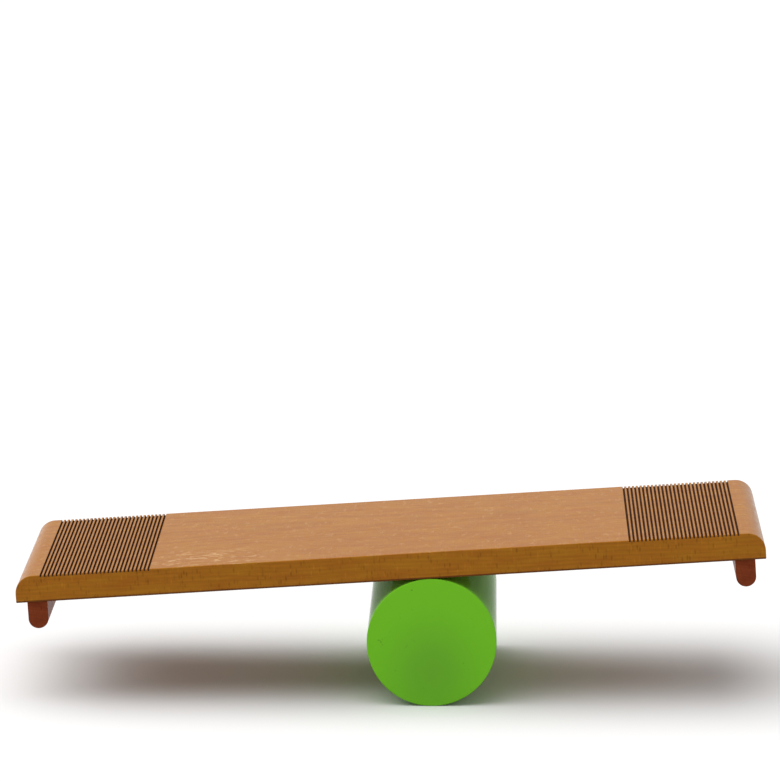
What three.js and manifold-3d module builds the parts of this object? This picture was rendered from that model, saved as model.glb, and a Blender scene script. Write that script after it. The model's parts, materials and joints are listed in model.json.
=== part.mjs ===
// Rola bola: a balance deck that rocks and travels on a loose roller.
//
// Lengths are in millimetres and +Z is up. The origin is on the floor, under the middle of the
// object's outer box. +X runs along the deck towards its raised end, and +Y runs across it, away
// from the near end of the roller. The deck is shown as it is ridden: tilted on the roller, a
// little off its own balance point.

import * as THREE from "three";
import { mergeVertices } from "three/addons/utils/BufferGeometryUtils.js";
import Module from "manifold-3d";

const wasm = await Module();
wasm.setup();

// Clearances and mesh fineness
const seatGap = 0.3;
const rollingGap = 0.3;
const cutOverrun = 1;
const rollerSides = 96;
const screwSides = 16;
const pocketSides = 24;

// Deck board
const deckLength = 750;
const deckWidth = 280;
const deckThickness = 27;
const endRoundRadius = 18;
const edgeEase = 1;
const cornerEase = 1.5;
const endRoundSegments = 5;

// Grooved foot areas, one at each end of the deck
const grooveCount = 28;
const groovePitch = 4;
const grooveWidth = 1.8;
const grooveDepth = 2;
const firstGrooveInset = 26.5;
const grooveFloorSegments = 2;

// Stop cleats under both ends
const cleatWidth = 20;
const cleatHeight = 27;
const cleatInset = 11;
const cleatSetback = 2;
const cleatRoundSegments = 6;

// Countersunk screws that hold the cleats
const screwsPerCleat = 4;
const screwLength = 35;
const screwEndInset = 30;
const shankDiameter = 4.5;
const headDiameter = 9;
const headRimHeight = 0.4;
const tipLength = 5;
const pocketDiameter = 10.6;
const pocketDepth = 7;

// Roller: a tube closed by two moulded end caps, together as long as the deck is wide
const rollerDiameter = 130;
const rollerLength = deckWidth;
const tubeWall = 5;
const tubeEndEase = 0.5;
const capFlange = 4;
const capRimEase = 1;
const capFaceWall = 3.5;
const spigotLength = 20;
const spigotWall = 3;
const spigotLead = 1.5;
const capBossDiameter = 14;
const capRibs = 6;
const capRibThickness = 2.5;
const capRibSetback = 3;

// How the deck stands on the roller
const deckTilt = THREE.MathUtils.degToRad(3.7);
const contactOffset = 37;

// Finishes
const lacqueredBeech = new THREE.MeshStandardMaterial({ color: 0xb8803f, roughness: 0.35, metalness: 0 });
const stainedBeech = new THREE.MeshStandardMaterial({ color: 0x7c4526, roughness: 0.45, metalness: 0 });
const greenPlastic = new THREE.MeshStandardMaterial({ color: 0x66b022, roughness: 0.3, metalness: 0 });
const zincPlate = new THREE.MeshStandardMaterial({ color: 0xc3c6c9, roughness: 0.35, metalness: 1 });

// A solid for cutting and joining, from a closed geometry
function solidFrom(geometry) {
  const bare = geometry.clone();
  bare.deleteAttribute("normal");
  bare.deleteAttribute("uv");
  const welded = mergeVertices(bare);
  return new wasm.Manifold(new wasm.Mesh({
    numProp: 3,
    vertProperties: new Float32Array(welded.attributes.position.array),
    triVerts: new Uint32Array(welded.index.array),
  }));
}

// A geometry for display, from a finished solid
function geometryFrom(solid) {
  const mesh = solid.getMesh();
  const geometry = new THREE.BufferGeometry();
  geometry.setAttribute("position", new THREE.BufferAttribute(new Float32Array(mesh.vertProperties), mesh.numProp));
  geometry.setIndex(new THREE.BufferAttribute(new Uint32Array(mesh.triVerts), 1));
  return geometry;
}

function joinAll(solids) {
  return solids.reduce((joined, solid) => joined.add(solid));
}

function place(group, name, solid, material) {
  const geometry = geometryFrom(solid).toNonIndexed();
  geometry.computeVertexNormals();
  const mesh = new THREE.Mesh(geometry, material);
  mesh.name = name;
  group.add(mesh);
}

// A profile of X and Z, drawn on the near side and carried across the object along Y
function acrossDeck(shapes, width, curveSegments) {
  const geometry = new THREE.ExtrudeGeometry(shapes, { depth: width, bevelEnabled: false, curveSegments });
  geometry.rotateX(Math.PI / 2);
  geometry.translate(0, width / 2, 0);
  return solidFrom(geometry);
}

// A section of Y and Z, carried along the object's length
function alongDeck(shape, length) {
  const geometry = new THREE.ExtrudeGeometry(shape, { depth: length, bevelEnabled: false });
  geometry.rotateX(Math.PI / 2);
  geometry.rotateZ(Math.PI / 2);
  geometry.translate(-length / 2, 0, 0);
  return solidFrom(geometry);
}

// A turned shape about the Z axis, from pairs of a radius and a height
function turned(pairs, sides) {
  const profile = pairs.map(([radius, height]) => new THREE.Vector2(radius, height));
  return new THREE.LatheGeometry(profile, sides).rotateX(Math.PI / 2);
}

// The same shape once for each screw of a cleat at X = line
function atEachScrew(geometry, line) {
  return joinAll(screwRow().map((y) => solidFrom(geometry.clone().translate(line, y, 0))));
}

// A rectangle with its four corners cut at 45 degrees, centred on X = 0 and standing on Y = low
function easedRectangle(width, low, high, ease) {
  const half = width / 2;
  const outline = new THREE.Shape();
  outline.moveTo(-half + ease, low);
  outline.lineTo(half - ease, low);
  outline.lineTo(half, low + ease);
  outline.lineTo(half, high - ease);
  outline.lineTo(half - ease, high);
  outline.lineTo(-half + ease, high);
  outline.lineTo(-half, high - ease);
  outline.lineTo(-half, low + ease);
  outline.closePath();
  return outline;
}

// The deck's side view: square at the bottom of both ends, rounded over at the top
function deckSideView() {
  const half = deckLength / 2;
  const arcHeight = deckThickness - endRoundRadius;
  const outline = new THREE.Shape();
  outline.moveTo(-half + edgeEase, 0);
  outline.lineTo(half - edgeEase, 0);
  outline.lineTo(half, edgeEase);
  outline.absarc(half - endRoundRadius, arcHeight, endRoundRadius, 0, Math.PI / 2, false);
  outline.absarc(-half + endRoundRadius, arcHeight, endRoundRadius, Math.PI / 2, Math.PI, false);
  outline.lineTo(-half, edgeEase);
  outline.closePath();
  return outline;
}

// One groove's section, with a round floor, open above the deck's top
function grooveSection(centre) {
  const radius = grooveWidth / 2;
  const floorArcHeight = deckThickness - grooveDepth + radius;
  const outline = new THREE.Shape();
  outline.moveTo(centre + radius, deckThickness + cutOverrun);
  outline.lineTo(centre - radius, deckThickness + cutOverrun);
  outline.lineTo(centre - radius, floorArcHeight);
  outline.absarc(centre, floorArcHeight, radius, Math.PI, 2 * Math.PI, false);
  outline.closePath();
  return outline;
}

function grooveSections() {
  const sections = [];
  for (let index = 0; index < grooveCount; index += 1) {
    const centre = deckLength / 2 - firstGrooveInset - index * groovePitch;
    sections.push(grooveSection(centre), grooveSection(-centre));
  }
  return sections;
}

// Places of the screws: along a cleat, in Y
function screwRow() {
  const reach = deckWidth / 2 - cleatSetback - screwEndInset;
  const rows = [];
  for (let index = 0; index < screwsPerCleat; index += 1) {
    rows.push(-reach + (2 * reach * index) / (screwsPerCleat - 1));
  }
  return rows;
}

const cleatLine = deckLength / 2 - cleatInset - cleatWidth / 2;
const cleatTop = -seatGap;
const cleatBottom = cleatTop - cleatHeight;
const headFace = cleatBottom + pocketDepth;
const headHeight = headRimHeight + (headDiameter - shankDiameter) / 2;
const screwTip = headFace + screwLength;

// The deck's top, foot grooves, eased edges and blind screw holes
function deckBoard() {
  const blank = acrossDeck(deckSideView(), deckWidth, endRoundSegments);
  const section = alongDeck(easedRectangle(deckWidth, 0, deckThickness, edgeEase), deckLength + cutOverrun);
  const plan = new THREE.ExtrudeGeometry(
    easedRectangle(deckLength, -deckWidth / 2, deckWidth / 2, cornerEase),
    { depth: deckThickness + 2 * cutOverrun, bevelEnabled: false },
  );
  plan.translate(0, 0, -cutOverrun);
  const board = blank.intersect(section).intersect(solidFrom(plan));
  const grooves = acrossDeck(grooveSections(), deckWidth + 2 * cutOverrun, grooveFloorSegments);
  const holeRadius = shankDiameter / 2 + seatGap;
  const hole = turned([
    [0, -cutOverrun],
    [holeRadius, -cutOverrun],
    [holeRadius, screwTip - tipLength + seatGap],
    [0, screwTip + 2 * seatGap],
  ], screwSides);
  const leftHoles = atEachScrew(hole, -cleatLine);
  const rightHoles = atEachScrew(hole, cleatLine);
  return board.subtract(grooves).subtract(leftHoles).subtract(rightHoles);
}

// A cleat at X = 0: flat against the deck, fully rounded below, with a pocket for each screw head
function stopCleat() {
  const half = cleatWidth / 2;
  const outline = new THREE.Shape();
  outline.moveTo(half, cleatTop);
  outline.lineTo(-half, cleatTop);
  outline.absarc(0, cleatBottom + half, half, Math.PI, 2 * Math.PI, false);
  outline.closePath();
  const bar = acrossDeck(outline, deckWidth - 2 * cleatSetback, cleatRoundSegments);
  const shankHole = shankDiameter / 2 + seatGap;
  const headSeat = headDiameter / 2 + seatGap;
  const pocket = turned([
    [0, cleatBottom - cutOverrun],
    [pocketDiameter / 2, cleatBottom - cutOverrun],
    [pocketDiameter / 2, headFace + headRimHeight + seatGap],
    [headSeat, headFace + headRimHeight + seatGap],
    [shankHole, headFace + headHeight + seatGap],
    [shankHole, cleatTop + cutOverrun],
    [0, cleatTop + cutOverrun],
  ], pocketSides);
  return bar.subtract(atEachScrew(pocket, 0));
}

// A countersunk wood screw on the Z axis, head down
function woodScrew() {
  return solidFrom(turned([
    [0, headFace],
    [headDiameter / 2, headFace],
    [headDiameter / 2, headFace + headRimHeight],
    [shankDiameter / 2, headFace + headHeight],
    [shankDiameter / 2, screwTip - tipLength],
    [0, screwTip],
  ], screwSides));
}

// A turned shape about the roller's own axis, which lies along Y
function turnedAlongRoller(pairs) {
  const profile = pairs.map(([radius, reach]) => new THREE.Vector2(radius, reach));
  return solidFrom(new THREE.LatheGeometry(profile, rollerSides));
}

const rollerRadius = rollerDiameter / 2;
const boreRadius = rollerRadius - tubeWall;
const tubeEnd = rollerLength / 2 - capFlange - seatGap;

function rollerTube() {
  const innerEase = boreRadius + tubeEndEase;
  return turnedAlongRoller([
    [innerEase, -tubeEnd],
    [rollerRadius, -tubeEnd],
    [rollerRadius, tubeEnd],
    [innerEase, tubeEnd],
    [boreRadius, tubeEnd - tubeEndEase],
    [boreRadius, -tubeEnd + tubeEndEase],
    [innerEase, -tubeEnd],
  ]);
}

// A cap for the far end: a full-width face, a spigot inside the tube, and ribs behind the face
function endCap() {
  const face = rollerLength / 2;
  const flangeBack = face - capFlange;
  const faceBack = face - capFaceWall;
  const spigotEnd = flangeBack - spigotLength;
  const spigotOuter = boreRadius - seatGap;
  const spigotInner = spigotOuter - spigotWall;
  const bossRadius = capBossDiameter / 2;
  const ribEnd = spigotEnd + capRibSetback;
  const shell = turnedAlongRoller([
    [0, ribEnd],
    [bossRadius, ribEnd],
    [bossRadius, faceBack],
    [spigotInner, faceBack],
    [spigotInner, spigotEnd],
    [spigotOuter - spigotLead, spigotEnd],
    [spigotOuter, spigotEnd + spigotLead],
    [spigotOuter, flangeBack],
    [rollerRadius, flangeBack],
    [rollerRadius, face - capRimEase],
    [rollerRadius - capRimEase, face],
    [0, face],
  ]);
  const ribReach = spigotInner + spigotWall / 2 - bossRadius / 2;
  const ribDepth = faceBack - ribEnd + capFaceWall / 2;
  const rib = new THREE.BoxGeometry(ribReach, ribDepth, capRibThickness);
  rib.translate(bossRadius / 2 + ribReach / 2, ribEnd + ribDepth / 2, 0);
  const ribs = [];
  for (let index = 0; index < capRibs; index += 1) {
    ribs.push(solidFrom(rib.clone().rotateY((index * 2 * Math.PI) / capRibs)));
  }
  return joinAll([shell, ...ribs]);
}

// Deck assembly, with its origin where the roller touches the deck's underside
const deckAssembly = new THREE.Group();
const deckParts = new THREE.Group();
deckParts.position.x = -contactOffset;
deckAssembly.add(deckParts);
place(deckParts, "deck_board", deckBoard(), lacqueredBeech);

for (const [side, x] of [["left", -cleatLine], ["right", cleatLine]]) {
  const cleat = new THREE.Group();
  cleat.position.x = x;
  deckParts.add(cleat);
  place(cleat, `${side}_stop_cleat`, stopCleat(), stainedBeech);
  screwRow().forEach((y, index) => {
    const seat = new THREE.Group();
    seat.position.y = y;
    cleat.add(seat);
    place(seat, `${side}_cleat_screw_${index + 1}`, woodScrew(), zincPlate);
  });
}

// Roller assembly, with its origin at the middle of its axis
const roller = new THREE.Group();
place(roller, "roller_tube", rollerTube(), greenPlastic);
place(roller, "far_end_cap", endCap(), greenPlastic);
const nearEnd = new THREE.Group();
nearEnd.rotation.z = Math.PI;
roller.add(nearEnd);
place(nearEnd, "near_end_cap", endCap(), greenPlastic);

// The roller stands on the floor, and the deck rests on it, square to the line of contact
const axisHeight = rollerRadius * Math.cos(Math.PI / rollerSides);
roller.position.set(0, 0, axisHeight);
roller.rotation.y = Math.PI / rollerSides;
const deckLift = rollerRadius + rollingGap;
deckAssembly.position.set(-deckLift * Math.sin(deckTilt), 0, axisHeight + deckLift * Math.cos(deckTilt));
deckAssembly.rotation.y = -deckTilt;

// The origin goes under the middle of the outer box
const rolaBola = new THREE.Group();
rolaBola.add(deckAssembly, roller);
const middle = new THREE.Box3().setFromObject(rolaBola, true).getCenter(new THREE.Vector3());
deckAssembly.position.x -= middle.x;
roller.position.x -= middle.x;

export default rolaBola;
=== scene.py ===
"""Rola bola: a grooved balance deck of lacquered beech on a loose green plastic roller.

Lengths are in metres, written as millimetres times MM. +Z is up, +X runs along the deck towards
its raised end, and +Y runs across it, away from the near end of the roller. A piece is modelled
on its own axes and then placed in this frame, so that its mesh holds its place.
"""

import json
import logging
import math
from dataclasses import dataclass, replace
from enum import Enum
from typing import Any, Callable, Sequence

import bmesh
import bpy
from bmesh.types import BMEdge, BMesh, BMVert
from bpy.types import Material, Node, NodeSocket, NodeTree, Object
from mathutils import Euler, Matrix, Vector


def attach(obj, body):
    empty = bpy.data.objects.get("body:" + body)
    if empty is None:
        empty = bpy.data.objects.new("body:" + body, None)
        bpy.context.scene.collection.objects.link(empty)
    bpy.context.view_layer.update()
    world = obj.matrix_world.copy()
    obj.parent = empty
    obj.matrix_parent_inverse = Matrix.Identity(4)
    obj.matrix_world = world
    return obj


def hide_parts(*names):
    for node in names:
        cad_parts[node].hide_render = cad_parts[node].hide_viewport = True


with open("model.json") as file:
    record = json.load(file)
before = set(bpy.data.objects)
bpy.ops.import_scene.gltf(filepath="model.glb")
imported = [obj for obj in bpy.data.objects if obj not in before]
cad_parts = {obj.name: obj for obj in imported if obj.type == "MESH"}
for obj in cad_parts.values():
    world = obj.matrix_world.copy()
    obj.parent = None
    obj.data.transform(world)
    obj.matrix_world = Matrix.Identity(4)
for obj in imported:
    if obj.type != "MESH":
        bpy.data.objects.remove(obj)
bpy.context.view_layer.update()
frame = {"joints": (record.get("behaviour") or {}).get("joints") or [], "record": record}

MM = 0.001
# How far a cutting tool reaches past what it cuts
CUT_OVERRUN = 1 * MM
# Corners nearer than this are one corner
WELD_DISTANCE = 0.001 * MM
# Faces that meet at more than this have a sharp edge between them
CREASE_ANGLE = math.radians(35)
# Share of an edge's length along an axis at which it counts as parallel to it
PARALLEL = 0.999
FULL_TURN = 2 * math.pi
# The shape of a bevel that makes it an arc
ROUND_PROFILE = 0.5
# Distance between two rings of a Wave texture whose scale is 1
WAVE_TEXTURE_PERIOD = FULL_TURN / 20
# Nearly all of a Noise texture lies between the low and the high value, evenly round the middle
NOISE_LOW = 0.3
NOISE_MIDDLE = 0.5
NOISE_HIGH = 0.7
# A reach so long that a pattern doesn't change along it
ENDLESS = 1000
LOG = logging.getLogger("rola_bola")

Pair = tuple[float, float]
Triple = tuple[float, float, float]
Profile = Sequence[Pair]


class DeckEnd(Enum):
    """The two ends of the deck, by the sign of their X."""

    LEFT = -1
    RIGHT = 1


class RollerEnd(Enum):
    """The two ends of the roller, by the sign of their Y."""

    NEAR = -1
    FAR = 1


class Cut(Enum):
    """What a second solid does to the first."""

    SUBTRACT = "DIFFERENCE"
    JOIN = "UNION"


@dataclass(frozen=True)
class Placement:
    """Where a piece's own axes lie in the object's frame.

    Attributes:
        origin: the piece's own origin.
        turn: the turn of its axes.
    """

    origin: Vector
    turn: Euler

    def matrix(self) -> Matrix:
        """The transform from the piece's own axes to the object's frame."""
        return Matrix.Translation(self.origin) @ self.turn.to_matrix().to_4x4()

    def then(self, inner: Matrix) -> "Placement":
        """The placement of axes that lie at inner within this one.

        Args:
            inner: a transform within this placement, without scale.

        Returns:
            The combined placement.
        """
        whole = self.matrix() @ inner
        return Placement(whole.to_translation(), whole.to_euler())


def frame_entry(entries: Sequence[dict[str, Any]], name: str) -> dict[str, Any]:
    """The entry with that name in one of the frame's lists."""
    return next(entry for entry in entries if entry["name"] == name)


def linear_colour(code: str) -> tuple[float, float, float, float]:
    """Turn an sRGB hex colour into the linear values that a shader takes.

    Args:
        code: a # and six hex digits.

    Returns:
        Linear red, green and blue, and an alpha of 1.
    """
    values = [int(code[start:start + 2], 16) / 255 for start in (1, 3, 5)]
    red, green, blue = [v / 12.92 if v <= 0.04045 else ((v + 0.055) / 1.055) ** 2.4 for v in values]
    return (red, green, blue, 1.0)


def add_node(
    tree: NodeTree,
    kind: str,
    inputs: dict[int | str, Any],
    output: int | str = 0,
    **settings: Any,
) -> NodeSocket:
    """Add a node with its settings, and fill or link its sockets.

    Args:
        tree: the node tree that gets the node.
        kind: the node's type name.
        inputs: socket names or numbers, each with a value or another node's output.
        output: which of the node's outputs is wanted.
        **settings: properties of the node.

    Returns:
        The output. The node itself is its node attribute.
    """
    node = tree.nodes.new(kind)
    for name, value in settings.items():
        setattr(node, name, value)
    for key, value in inputs.items():
        if isinstance(value, NodeSocket):
            tree.links.new(value, node.inputs[key])
        else:
            node.inputs[key].default_value = value
    return node.outputs[output]


def calculate(tree: NodeTree, operation: str, *values: Any) -> NodeSocket:
    """Put numbers through a Math node.

    Args:
        tree: the node tree that gets the node.
        operation: what the node does with them.
        *values: the numbers, or other nodes' outputs.

    Returns:
        The result.
    """
    return add_node(tree, "ShaderNodeMath", dict(enumerate(values)), operation=operation)


def map_range(
    tree: NodeTree, value: NodeSocket, given: Pair, wanted: Pair, **settings: Any
) -> NodeSocket:
    """Map a number from one range to another, and hold it at the end that it passes.

    Args:
        tree: the node tree that gets the node.
        value: the number.
        given: the range that it comes from.
        wanted: the range that it goes to, which may run downwards.
        **settings: properties of the node.

    Returns:
        The mapped number.
    """
    inputs = {0: value, 1: given[0], 2: given[1], 3: wanted[0], 4: wanted[1]}
    return add_node(tree, "ShaderNodeMapRange", inputs, **settings)


def mix_colours(tree: NodeTree, share: NodeSocket, under: NodeSocket, over: Any) -> NodeSocket:
    """Lay one colour over another.

    Args:
        tree: the node tree that gets the node.
        share: how far the upper colour hides the lower one.
        under: the lower colour.
        over: the upper colour, or another node's output.

    Returns:
        The colour that shows.
    """
    # A Mix node has sockets for every kind of value, of which these are the ones for colours
    inputs = {0: share, 6: under, 7: over}
    return add_node(tree, "ShaderNodeMix", inputs, 2, data_type="RGBA")


def new_material(name: str) -> tuple[Material, NodeTree, Node]:
    """Start a material.

    Args:
        name: the material's name.

    Returns:
        The material, its node tree and its Principled shader.
    """
    material = bpy.data.materials.new(name)
    material.use_nodes = True
    return material, material.node_tree, material.node_tree.nodes["Principled BSDF"]


@dataclass(frozen=True)
class BeechFinish:
    """Solid flat-sawn beech under a coat.

    The rays of beech are thin ribbons that stand through the thickness of the board, so one
    solid pattern gives short dashes on its face, upright flecks on its edge and fine lines on
    its end. They are drawn a few times thicker than the real 0.2 mm, so that they still show.

    Attributes:
        name: the material's name.
        light: colour of the yellower wood.
        dark: colour of the redder wood.
        roughness: roughness of the coat.
        specular: specular level of the coat.
        fibre_contrast: how far the fibre streaks lighten and darken the wood.
        ring_contrast: how far the growth rings do.
        ray_darkening: how far the darkest ray darkens it.
        ray_lightening: how far the palest ray lightens it.
        sheen_spread: how far the coat's roughness varies.
        fibre_relief: height of the fibres under the coat.
        film_relief: height of the coat's own waves.
        fibre_cell: size of one fibre streak, along, across and through the board.
        ray_cell: room of one ray.
        ray_core: half width of the solid part of a ray, as a share of its room.
        ray_rim: half width of the whole ray, as a share of its room.
        figure_cell: size of one patch of yellower or redder wood.
        film_cell: size of one wave in the coat.
        ring_pitch: width of one year's growth.
        pith_place: middle of the growth rings, under the board.
        pith_slope: slope of the tree's axis along the board.
        ring_wander: how far the rings stray from circles.
        ring_wander_scale: how fast they stray.
        grain_detail: octaves of noise in the fibres and the patches.
        film_detail: the same in the coat.
        noise_wander: how far all three are distorted.
    """

    name: str
    light: str
    dark: str
    roughness: float
    specular: float
    fibre_contrast: float = 0.07
    ring_contrast: float = 0.04
    ray_darkening: float = 0.34
    ray_lightening: float = 0.2
    sheen_spread: float = 0.05
    fibre_relief: float = 0.012 * MM
    film_relief: float = 0.008 * MM
    fibre_cell: Triple = (45 * MM, 1.3 * MM, 1.3 * MM)
    ray_cell: Triple = (2.6 * MM, 1.1 * MM, 8 * MM)
    ray_core: float = 0.16
    ray_rim: float = 0.46
    figure_cell: Triple = (36 * MM, 13 * MM, 8 * MM)
    film_cell: Triple = (5 * MM, 14 * MM, 5 * MM)
    ring_pitch: float = 3.2 * MM
    pith_place: Triple = (0, 35 * MM, -190 * MM)
    pith_slope: float = math.radians(1.4)
    ring_wander: float = 5
    ring_wander_scale: float = 0.12
    grain_detail: int = 4
    film_detail: int = 2
    noise_wander: float = 0.4

    def build(self, grain: Placement) -> Material:
        """Make the material for wood that grew along the placement's X.

        Args:
            grain: where the wood's own axes lie: X along its fibres, Z through the board.

        Returns:
            The finished material.
        """
        material, tree, surface = new_material(self.name)
        point = add_node(tree, "ShaderNodeTexCoord", {}, "Object")
        inputs = {"Vector": point, "Location": grain.origin, "Rotation": grain.turn}
        wood = add_node(tree, "ShaderNodeMapping", inputs, vector_type="TEXTURE")

        noises = []
        for cell, detail in (
            (self.fibre_cell, self.grain_detail),
            (self.figure_cell, self.grain_detail),
            (self.film_cell, self.film_detail),
        ):
            place = add_node(tree, "ShaderNodeVectorMath", {0: wood, 1: cell}, operation="DIVIDE")
            inputs = {
                "Vector": place,
                "Scale": 1,
                "Detail": detail,
                "Distortion": self.noise_wander,
            }
            noises.append(add_node(tree, "ShaderNodeTexNoise", inputs))
        fibre, figure, film = noises

        shade = self.grain_shade(tree, wood, fibre)
        patches = map_range(tree, figure, (NOISE_LOW, NOISE_HIGH), (0, 1))
        tone = add_node(tree, "ShaderNodeValToRGB", {"Fac": patches})
        tone.node.color_ramp.elements[0].color = linear_colour(self.light)
        tone.node.color_ramp.elements[1].color = linear_colour(self.dark)
        inputs = {"Vector": tone, "Scale": shade}
        clean = add_node(tree, "ShaderNodeVectorMath", inputs, operation="SCALE")
        tree.links.new(self.marked(tree, wood, clean), surface.inputs["Base Color"])

        rough, spread = self.roughness, self.sheen_spread
        sheen = map_range(tree, film, (NOISE_LOW, NOISE_HIGH), (rough + spread, rough - spread))
        tree.links.new(sheen, surface.inputs["Roughness"])
        inputs = {"Height": film, "Strength": 1, "Distance": self.film_relief}
        waves = add_node(tree, "ShaderNodeBump", inputs)
        inputs = {"Height": fibre, "Strength": 1, "Distance": self.fibre_relief, "Normal": waves}
        tree.links.new(add_node(tree, "ShaderNodeBump", inputs), surface.inputs["Normal"])
        surface.inputs["Specular IOR Level"].default_value = self.specular
        return material

    def grain_shade(self, tree: NodeTree, wood: NodeSocket, fibre: NodeSocket) -> NodeSocket:
        """How far the fibres, the growth rings and the rays lighten or darken the wood.

        Args:
            tree: the material's node tree.
            wood: the place in the wood.
            fibre: the noise of the fibre streaks.

        Returns:
            A factor about 1.
        """
        ring_cell = self.ring_pitch / WAVE_TEXTURE_PERIOD
        inputs = {
            "Vector": wood,
            "Location": self.pith_place,
            "Rotation": (0, self.pith_slope, 0),
            "Scale": (ring_cell, ring_cell, ring_cell),
        }
        place = add_node(tree, "ShaderNodeMapping", inputs, vector_type="TEXTURE")
        inputs = {
            "Vector": place,
            "Scale": 1,
            "Distortion": self.ring_wander,
            "Detail Scale": self.ring_wander_scale,
        }
        rings = add_node(
            tree, "ShaderNodeTexWave", inputs, "Fac", wave_type="RINGS", rings_direction="X"
        )

        inputs = {0: wood, 1: self.ray_cell}
        place = add_node(tree, "ShaderNodeVectorMath", inputs, operation="DIVIDE")
        distance = add_node(tree, "ShaderNodeTexVoronoi", {"Vector": place, "Scale": 1}, "Distance")
        inside = map_range(tree, distance, (self.ray_core, self.ray_rim), (1, 0))
        any_colour = distance.node.outputs["Color"]
        each = add_node(tree, "ShaderNodeSeparateColor", {"Color": any_colour}, "Red")
        tint = map_range(tree, each, (0, 1), (-self.ray_darkening, self.ray_lightening))
        shade = calculate(tree, "MULTIPLY_ADD", tint, inside, 1)

        for marks, given, contrast in (
            (fibre, (NOISE_LOW, NOISE_HIGH), self.fibre_contrast),
            (rings, (0, 1), self.ring_contrast),
        ):
            factor = map_range(tree, marks, given, (1 - contrast, 1 + contrast))
            shade = calculate(tree, "MULTIPLY", shade, factor)
        return shade

    def marked(self, tree: NodeTree, wood: NodeSocket, clean: NodeSocket) -> NodeSocket:
        """The colour with the marks that some parts of the piece have. Here there are none.

        Args:
            tree: the material's node tree.
            wood: the place in the wood.
            clean: the colour without marks.

        Returns:
            The colour that shows.
        """
        return clean


@dataclass(frozen=True)
class WanderingMarks:
    """Thin pale marks that follow the middle level of a noise, with breaks in them.

    Attributes:
        strength: how far a mark hides the wood.
        wander_cell: size of one bend of a mark.
        line: where a mark starts to end and has ended, in the noise's own range.
        break_cell: size of one break.
        whole: where a break has ended and the mark is full, in the same way.
        detail: octaves of noise in both.
    """

    strength: float
    wander_cell: Triple
    line: Pair
    break_cell: Triple
    whole: Pair
    detail: int = 3

    def share(self, tree: NodeTree, wood: NodeSocket) -> NodeSocket:
        """How far the marks hide a place in the wood.

        Args:
            tree: the material's node tree.
            wood: the place in the wood.

        Returns:
            A share from 0 up.
        """
        noises = []
        for cell in (self.wander_cell, self.break_cell):
            place = add_node(tree, "ShaderNodeVectorMath", {0: wood, 1: cell}, operation="DIVIDE")
            inputs = {"Vector": place, "Scale": 1, "Detail": self.detail}
            noises.append(add_node(tree, "ShaderNodeTexNoise", inputs))
        wander, breaks = noises
        off = calculate(tree, "ABSOLUTE", calculate(tree, "SUBTRACT", wander, NOISE_MIDDLE))
        on_line = map_range(tree, off, self.line, (1, 0))
        unbroken = map_range(tree, breaks, self.whole, (0, self.strength))
        return calculate(tree, "MULTIPLY", on_line, unbroken)


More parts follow.
